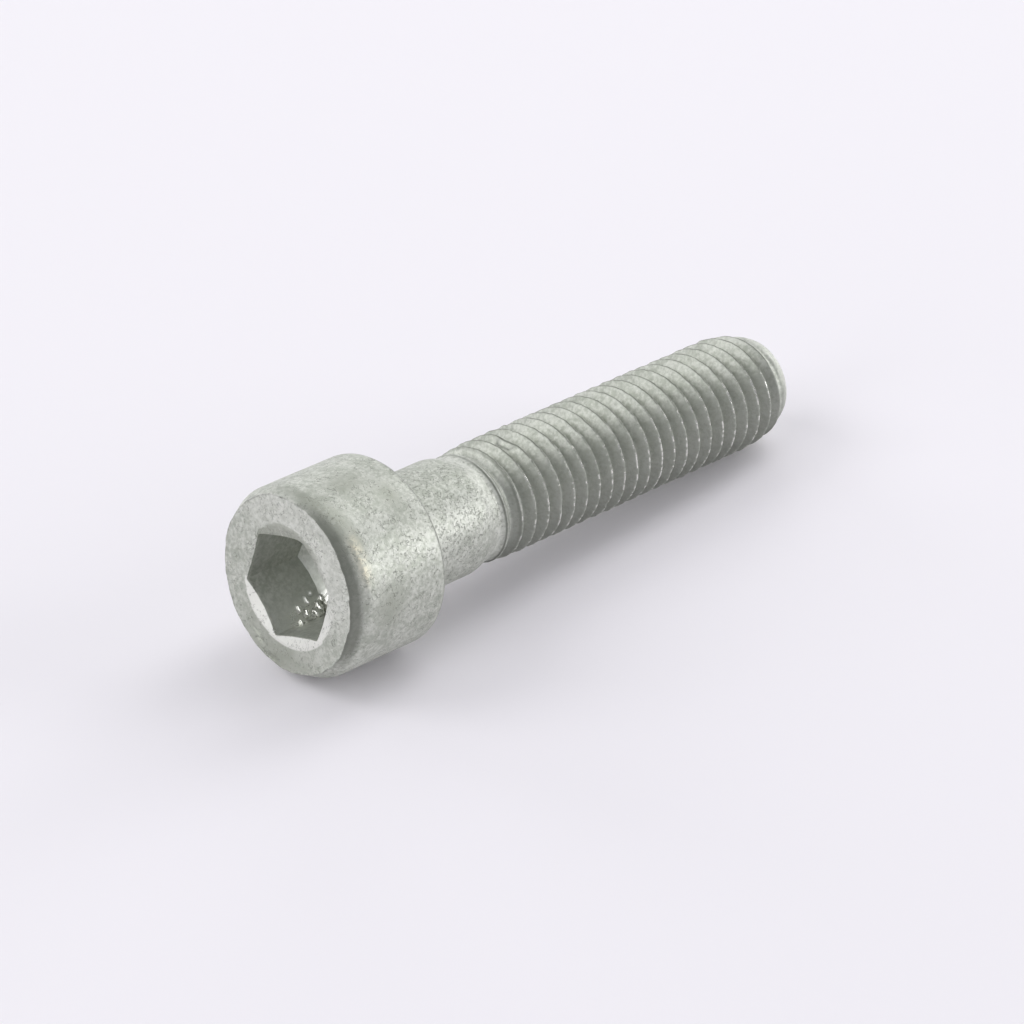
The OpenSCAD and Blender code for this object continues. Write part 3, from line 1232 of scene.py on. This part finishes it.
@dataclass(frozen=True)
class ZincFlakeCoat:
    """Zinc flake coating, dipped, spun and baked on forged steel.

    The flakes lie flat in a thin binder, so the eye sees a dull light grey with a touch of green, a little
    cloudy where the film is thicker, with fine dark pores and short curved cracks. The worn shoulder and
    the pooled drops are brighter metal. Painted highlights lie on the lit crests, edges and socket mouth,
    and painted light and shade lie on the thread, round the head's edges and in the socket.
    """

    light: str = "#cfd1c9"
    dark: str = "#a9ada2"
    # Colour of pores and cracks, and of the painted shade in creases, along edges, round a dent and in the
    # crest's fold
    pore_and_shade: str = "#74776e"
    # Colour of painted highlights and painted light, and of the bright pooled drops
    highlight_and_bright_metal: str = "#ebebe5"
    worn: str = "#e0dac2"
    # Colour of the dark marks on the head, and of the painted shade in the thread's roots and under the lip
    grime_and_shade: str = "#8b8f80"
    # Colour of the painted shade on the thread's lower flanks and on the socket's walls
    dull: str = "#8d9088"
    # Colour of the painted light in the socket
    socket_light: str = "#cccfc9"
    metallic: float = 0.55
    cloud_mm: float = 3.4
    mottle_mm: float = 1.1
    grain_mm: float = 0.34
    # Real cracks and pores are nearer 0.05 mm across, which is too fine for the render to show
    crack_mm: float = 0.55
    pore_mm: float = 0.2
    # Reach of a streak of the film on the thread's flanks, round the axis and along it
    streak_mm: tuple[float, float] = (0.42, 1.1)
    grain_relief_mm: float = 0.02
    mottle_relief_mm: float = 0.014
    # Height of the streaks on the flanks, as a share of the grain's
    streak_relief: float = 2.0
    # Shares of the cloud and of the mottle in the tone, next to a whole share of the grain
    cloud_share: float = 0.4
    mottle_share: float = 0.6
    # How dark the cracks are, and how many of them the thread's flanks lack
    crack_share: float = 0.6
    flank_loss: float = 0.75
    # How much smoother, and how much more metallic, the crests with painted glints and the pooled drops are
    polish: float = 0.36
    bare_metal: float = 0.4

    def material(self, place: Matrix) -> bpy.types.Material:
        """Build the coating.

        Args:
            place: Matrix from the upright screw in millimetres to the frame.

        Returns:
            The material.
        """
        coat = bpy.data.materials.new("zinc_flake_coating")
        coat.use_nodes = True
        tree = coat.node_tree
        tree.nodes.clear()
        # Millimetres along the upright screw's own axes, turned half round so that the angle about
        # the axis jumps on the side that faces the floor
        upright = Matrix.Rotation(math.pi, 4, "Z") @ place.inverted()
        spot = add_node(
            tree,
            "ShaderNodeMapping",
            {
                "Vector": add_node(tree, "ShaderNodeTexCoord", output=3),
                "Location": tuple(upright.translation),
                "Rotation": tuple(upright.to_3x3().normalized().to_euler()),
                "Scale": (1 / MM,) * 3,
            },
            vector_type="POINT",
        )
        mask = {
            name: add_node(tree, "ShaderNodeAttribute", output=2, attribute_name=name)
            for name in (
                "crest_shade", "glint", "groove", "flank_shade", "thin", "dent_shade", "flank", "blank", "edge_highlight", "crease_shade",
                "rim", "back_edge_shade", "edge_shade", "shoulder", "inside", "socket_light", "socket_shade", "lead_in", "lip_shade",
                "face", "pool", "shank", "smudge",
            )
        }
        cloud = add_node(
            tree, "ShaderNodeTexNoise", {"Vector": spot, "Scale": 1 / self.cloud_mm, "Detail": 3.0}
        )
        mottle = add_node(
            tree,
            "ShaderNodeTexNoise",
            {"Vector": spot, "Scale": 1 / self.mottle_mm, "Detail": 4.0, "Roughness": 0.6},
        )
        grain = add_node(
            tree,
            "ShaderNodeTexNoise",
            {"Vector": spot, "Scale": 1 / self.grain_mm, "Detail": 3.0, "Roughness": 0.65},
        )
        streak = self.streaks(tree, spot)
        cracked = self.cracks(tree, spot, mottle, mask["shank"])
        kept = add_node(
            tree, "ShaderNodeMath", {0: mask["flank"], 1: -self.flank_loss, 2: 1.0}, operation="MULTIPLY_ADD"
        )
        kept = add_node(
            tree, "ShaderNodeMath", {0: kept, 1: mask["inside"]}, operation="SUBTRACT", use_clamp=True
        )
        cracked = add_node(tree, "ShaderNodeMath", {0: cracked, 1: kept}, operation="MULTIPLY")

        # Colour: thin and thick film, then marks, wear, pooled drops and painted light and shade, then cracks
        # and pores, then the painted glints
        tone = add_node(
            tree, "ShaderNodeMath", {0: mottle, 1: self.mottle_share, 2: grain}, operation="MULTIPLY_ADD"
        )
        tone = add_node(
            tree, "ShaderNodeMath", {0: cloud, 1: self.cloud_share, 2: tone}, operation="MULTIPLY_ADD"
        )
        tone = add_node(
            tree,
            "ShaderNodeMapRange",
            {"Value": tone, "From Min": 0.76, "From Max": 1.24},
            interpolation_type="SMOOTHSTEP",
        )
        colour = add_node(
            tree,
            "ShaderNodeMix",
            {0: tone, 6: linear(self.dark), 7: linear(self.light)},
            output=2,
            data_type="RGBA",
        )
        dirty = add_node(
            tree,
            "ShaderNodeMapRange",
            {"Value": grain, "From Min": 0.36, "From Max": 0.6, "To Min": 0.25, "To Max": 1.0},
            interpolation_type="SMOOTHSTEP",
        )
        streaked = add_node(
            tree,
            "ShaderNodeMapRange",
            {"Value": streak, "From Min": 0.35, "From Max": 0.65, "To Min": 0.15, "To Max": 0.75},
            interpolation_type="SMOOTHSTEP",
        )
        broken = add_node(
            tree,
            "ShaderNodeMapRange",
            {"Value": grain, "From Min": 0.49, "From Max": 0.55},
            interpolation_type="SMOOTHSTEP",
        )
        # For each mask, what breaks it up, its share and the colour it brings
        for name, amount, share, tint in (
            ("smudge", dirty, 0.65, self.grime_and_shade),
            # Painted shade in the roots, painted shade and light on the lower flanks, and painted shade round
            # a dent
            ("groove", streaked, 0.7, self.grime_and_shade),
            ("flank_shade", 1.0, 0.75, self.dull),
            ("thin", 1.0, 0.85, self.highlight_and_bright_metal),
            ("dent_shade", 1.0, 0.7, self.pore_and_shade),
            # Painted highlight on the blank and on the crisp edge, and painted light on the drive face's
            # upper side
            ("blank", 1.0, 0.15, self.highlight_and_bright_metal),
            ("face", 1.0, 0.25, self.highlight_and_bright_metal),
            ("edge_highlight", broken, 0.4, self.highlight_and_bright_metal),
            # Painted light and shade in the socket, a painted highlight on the mouth's lit side, and painted
            # shade under the lip
            ("socket_light", 1.0, 0.9, self.socket_light),
            ("socket_shade", 1.0, 0.55, self.dull),
            ("lead_in", 1.0, 0.85, self.highlight_and_bright_metal),
            ("lip_shade", 1.0, 0.5, self.grime_and_shade),
            # Painted shade behind the front edge
            ("edge_shade", 1.0, 0.85, self.pore_and_shade),
            ("shoulder", dirty, 0.8, self.worn),
            # Painted shade in the crease outside the crisp edge, along the back edge and in the crest's fold;
            # the rim gets a dark line
            ("crease_shade", 1.0, 0.85, self.pore_and_shade),
            ("rim", streaked, 1.0, self.pore_and_shade),
            ("back_edge_shade", 1.0, 0.75, self.pore_and_shade),
            ("crest_shade", 1.0, 0.85, self.pore_and_shade),
            ("pool", 1.0, 0.8, self.highlight_and_bright_metal),
        ):
            where = add_node(tree, "ShaderNodeMath", {0: mask[name], 1: amount}, operation="MULTIPLY")
            where = add_node(tree, "ShaderNodeMath", {0: where, 1: share}, operation="MULTIPLY")
            colour = add_node(
                tree,
                "ShaderNodeMix",
                {0: where, 6: colour, 7: linear(tint)},
                output=2,
                data_type="RGBA",
            )
        dark_marks = add_node(
            tree, "ShaderNodeMath", {0: cracked, 1: self.crack_share}, operation="MULTIPLY"
        )
        colour = add_node(
            tree,
            "ShaderNodeMix",
            {0: dark_marks, 6: colour, 7: linear(self.pore_and_shade)},
            output=2,
            data_type="RGBA",
        )
        # Painted glints on the crests of the lower side, broken into dashes
        dashed = add_node(tree, "ShaderNodeMapRange", {"Value": streak, "From Min": 0.5, "From Max": 0.56})
        glint = add_node(tree, "ShaderNodeMath", {0: mask["glint"], 1: dashed}, operation="MULTIPLY")
        colour = add_node(
            tree,
            "ShaderNodeMix",
            {0: glint, 6: colour, 7: linear(self.highlight_and_bright_metal)},
            output=2,
            data_type="RGBA",
        )

        # Gloss: the film is dull, the crests with the painted glints and the pooled drops shine
        dull = add_node(
            tree,
            "ShaderNodeMapRange",
            {"Value": mottle, "From Min": 0.3, "From Max": 0.7, "To Min": 0.44, "To Max": 0.56},
        )
        rough = dull
        for shiny in (glint, mask["pool"]):
            rough = add_node(
                tree, "ShaderNodeMath", {0: shiny, 1: -self.polish, 2: rough}, operation="MULTIPLY_ADD"
            )
        bare = add_node(tree, "ShaderNodeMath", {0: glint, 1: mask["pool"]}, operation="MAXIMUM")
        bare = add_node(
            tree, "ShaderNodeMath", {0: bare, 1: self.bare_metal, 2: self.metallic}, operation="MULTIPLY_ADD"
        )

        film = add_node(
            tree,
            "ShaderNodeBump",
            {"Height": mottle, "Distance": self.mottle_relief_mm * MM, "Strength": 1.0},
        )
        thread = add_node(tree, "ShaderNodeMath", {0: streak, 1: mask["flank"]}, operation="MULTIPLY")
        pitted = add_node(tree, "ShaderNodeMath", {0: grain, 1: cracked}, operation="SUBTRACT")
        pitted = add_node(
            tree, "ShaderNodeMath", {0: thread, 1: self.streak_relief, 2: pitted}, operation="MULTIPLY_ADD"
        )
        fine = add_node(
            tree,
            "ShaderNodeBump",
            {"Height": pitted, "Distance": self.grain_relief_mm * MM, "Strength": 1.0, "Normal": film},
        )
        shader = add_node(
            tree,
            "ShaderNodeBsdfPrincipled",
            {"Base Color": colour, "Roughness": rough, "Metallic": bare, "Normal": fine},
        )
        add_node(tree, "ShaderNodeOutputMaterial", {"Surface": shader})
        return coat

    def streaks(self, tree: bpy.types.NodeTree, spot: bpy.types.NodeSocket) -> bpy.types.NodeSocket:
        """Draw the streaks that the spinning left across the thread's flanks.

        Args:
            tree: Tree of the coating.
            spot: Place on the upright screw in millimetres.

        Returns:
            The height of the streaks.
        """
        around_mm, along_mm = self.streak_mm
        mean_r = 4.5
        x = add_node(tree, "ShaderNodeSeparateXYZ", {"Vector": spot}, output=0)
        y = add_node(tree, "ShaderNodeSeparateXYZ", {"Vector": spot}, output=1)
        s = add_node(tree, "ShaderNodeSeparateXYZ", {"Vector": spot}, output=2)
        angle = add_node(tree, "ShaderNodeMath", {0: y, 1: x}, operation="ARCTAN2")
        around = add_node(tree, "ShaderNodeMath", {0: angle, 1: mean_r / around_mm}, operation="MULTIPLY")
        along = add_node(tree, "ShaderNodeMath", {0: s, 1: 1 / along_mm}, operation="MULTIPLY")
        laid = add_node(tree, "ShaderNodeCombineXYZ", {"X": around, "Y": along})
        return add_node(tree, "ShaderNodeTexNoise", {"Vector": laid, "Scale": 1.0, "Detail": 2.0})

    def cracks(
        self,
        tree: bpy.types.NodeTree,
        spot: bpy.types.NodeSocket,
        mottle: bpy.types.NodeSocket,
        shank: bpy.types.NodeSocket,
    ) -> bpy.types.NodeSocket:
        """Draw the short curved cracks and the pores of the film.

        Args:
            tree: Tree of the coating.
            spot: Place on the upright screw in millimetres.
            mottle: Clouds that the cracks gather in.
            shank: Where the plain shank is, which has more pores.

        Returns:
            How dark the cracks and pores are, from 0 to 1.
        """
        line = add_node(
            tree, "ShaderNodeTexNoise", {"Vector": spot, "Scale": 1 / self.crack_mm, "Detail": 2.0}
        )
        off = add_node(tree, "ShaderNodeMath", {0: line, 1: 0.5}, operation="SUBTRACT")
        off = add_node(tree, "ShaderNodeMath", {0: off}, operation="ABSOLUTE")
        thin = add_node(
            tree,
            "ShaderNodeMapRange",
            {"Value": off, "From Min": 0.006, "From Max": 0.022, "To Min": 1.0, "To Max": 0.0},
        )
        gathered = add_node(
            tree,
            "ShaderNodeTexNoise",
            {"Vector": spot, "Scale": 1 / (1.7 * self.crack_mm), "Detail": 1.0},
            noise_dimensions="4D",
        )
        short = add_node(
            tree, "ShaderNodeMapRange", {"Value": gathered, "From Min": 0.47, "From Max": 0.56}
        )
        crack = add_node(tree, "ShaderNodeMath", {0: thin, 1: short}, operation="MULTIPLY")
        pores = add_node(
            tree,
            "ShaderNodeTexNoise",
            {"Vector": spot, "Scale": 1 / self.pore_mm, "Detail": 2.0, "Roughness": 0.6},
        )
        more = add_node(tree, "ShaderNodeMath", {0: shank, 1: 0.045, 2: pores}, operation="MULTIPLY_ADD")
        dense = add_node(tree, "ShaderNodeMath", {0: mottle, 1: 0.12, 2: more}, operation="MULTIPLY_ADD")
        pored = add_node(
            tree, "ShaderNodeMapRange", {"Value": dense, "From Min": 0.69, "From Max": 0.77}
        )
        return add_node(tree, "ShaderNodeMath", {0: crack, 1: pored}, operation="MAXIMUM")


@dataclass(frozen=True)
class PaintedFloor:
    """Matt white painted board, sprayed, so the eye sees only a pale even field and the shadow on it."""

    colour: str = "#eeebf0"
    roughness: float = 0.7
    spray_mm: float = 0.4
    spray_relief_mm: float = 0.002

    def material(self) -> bpy.types.Material:
        """Build the paint.

        Returns:
            The material.
        """
        paint = bpy.data.materials.new("matt_white_paint")
        paint.use_nodes = True
        tree = paint.node_tree
        tree.nodes.clear()
        spray = add_node(
            tree,
            "ShaderNodeTexNoise",
            {
                "Vector": add_node(tree, "ShaderNodeTexCoord", output=3),
                "Scale": 1 / (self.spray_mm * MM),
                "Detail": 2.0,
            },
        )
        relief = add_node(
            tree, "ShaderNodeBump", {"Height": spray, "Distance": self.spray_relief_mm * MM, "Strength": 0.5}
        )
        shader = add_node(
            tree,
            "ShaderNodeBsdfPrincipled",
            {"Base Color": linear(self.colour), "Roughness": self.roughness, "Normal": relief},
        )
        add_node(tree, "ShaderNodeOutputMaterial", {"Surface": shader})
        return paint


# Studio


@dataclass
class Studio:
    """Floor, lamps, sky and camera."""

    floor_size: float = 6.0
    lamp_size: float = 0.55
    lamp_distance: float = 1.0
    camera_place: tuple[float, float, float] = (-0.23824, -0.22878, 0.20425)
    camera_azimuth: float = 44.093
    camera_elevation: float = -31.286
    # Focal length and the sensor's width, from the fit to the photograph's outlines
    camera_lens: float = 166.83
    camera_sensor: float = 36
    camera_clip: tuple[float, float] = (0.01, 20)
    sky: tuple[float, float, float] = (0.94, 0.95, 1.0)
    sky_strength: float = 0.4

    def add_lamp(self, lamp: Lamp) -> None:
        """Hang one round softbox that looks at the screw.

        Args:
            lamp: Its direction and power.
        """
        azimuth, elevation, power = lamp.value
        light = bpy.data.lights.new(lamp.name.lower(), "AREA")
        light.shape = "DISK"
        light.size = self.lamp_size
        light.energy = power
        a, e = math.radians(azimuth), math.radians(elevation)
        place = Vector((math.cos(e) * math.cos(a), math.cos(e) * math.sin(a), math.sin(e)))
        holder = bpy.data.objects.new(lamp.name.lower(), light)
        holder.location = place * self.lamp_distance
        holder.rotation_euler = (-place).to_track_quat("-Z", "Y").to_euler()
        bpy.context.collection.objects.link(holder)

    def add_floor(self) -> None:
        """Lay the floor under the screw."""
        deselect_all()
        bpy.ops.mesh.primitive_plane_add(size=self.floor_size, location=(0, 0, 0))
        floor = bpy.context.object
        floor.name = "studio_floor"
        floor.data.materials.append(PaintedFloor().material())

    def add_camera(self) -> None:
        """Set the camera at the photograph's viewing angle."""
        camera = bpy.data.cameras.new("photo_camera")
        camera.sensor_width = self.camera_sensor
        camera.lens = self.camera_lens
        camera.clip_start, camera.clip_end = self.camera_clip
        holder = bpy.data.objects.new("photo_camera", camera)
        holder.location = self.camera_place
        holder.rotation_euler = (
            math.radians(90 + self.camera_elevation),
            0,
            math.radians(self.camera_azimuth - 90),
        )
        bpy.context.collection.objects.link(holder)
        bpy.context.scene.camera = holder

    def add_sky(self) -> None:
        """Fill the room with a little even pale light."""
        world = bpy.data.worlds.new("studio_room")
        world.use_nodes = True
        world.node_tree.nodes.clear()
        glow = add_node(
            world.node_tree,
            "ShaderNodeBackground",
            {"Color": (*self.sky, 1.0), "Strength": self.sky_strength},
        )
        add_node(world.node_tree, "ShaderNodeOutputWorld", {"Surface": glow})
        bpy.context.scene.world = world

    def build(self) -> None:
        """Build the whole studio."""
        self.add_camera()
        self.add_floor()
        self.add_sky()
        for lamp in Lamp:
            self.add_lamp(lamp)
        bpy.context.scene.view_settings.view_transform = "Standard"


def main() -> None:
    """Build the screw and the studio."""
    logging.basicConfig(level=logging.INFO, format="%(message)s")
    Studio().build()
    screw = CapScrewBody()
    body = screw.build()
    screw.dress(body)
    LOG.info("%s: %d vertices, %d faces", body.name, len(body.data.vertices), len(body.data.polygons))


if __name__ == "__main__":
    main()
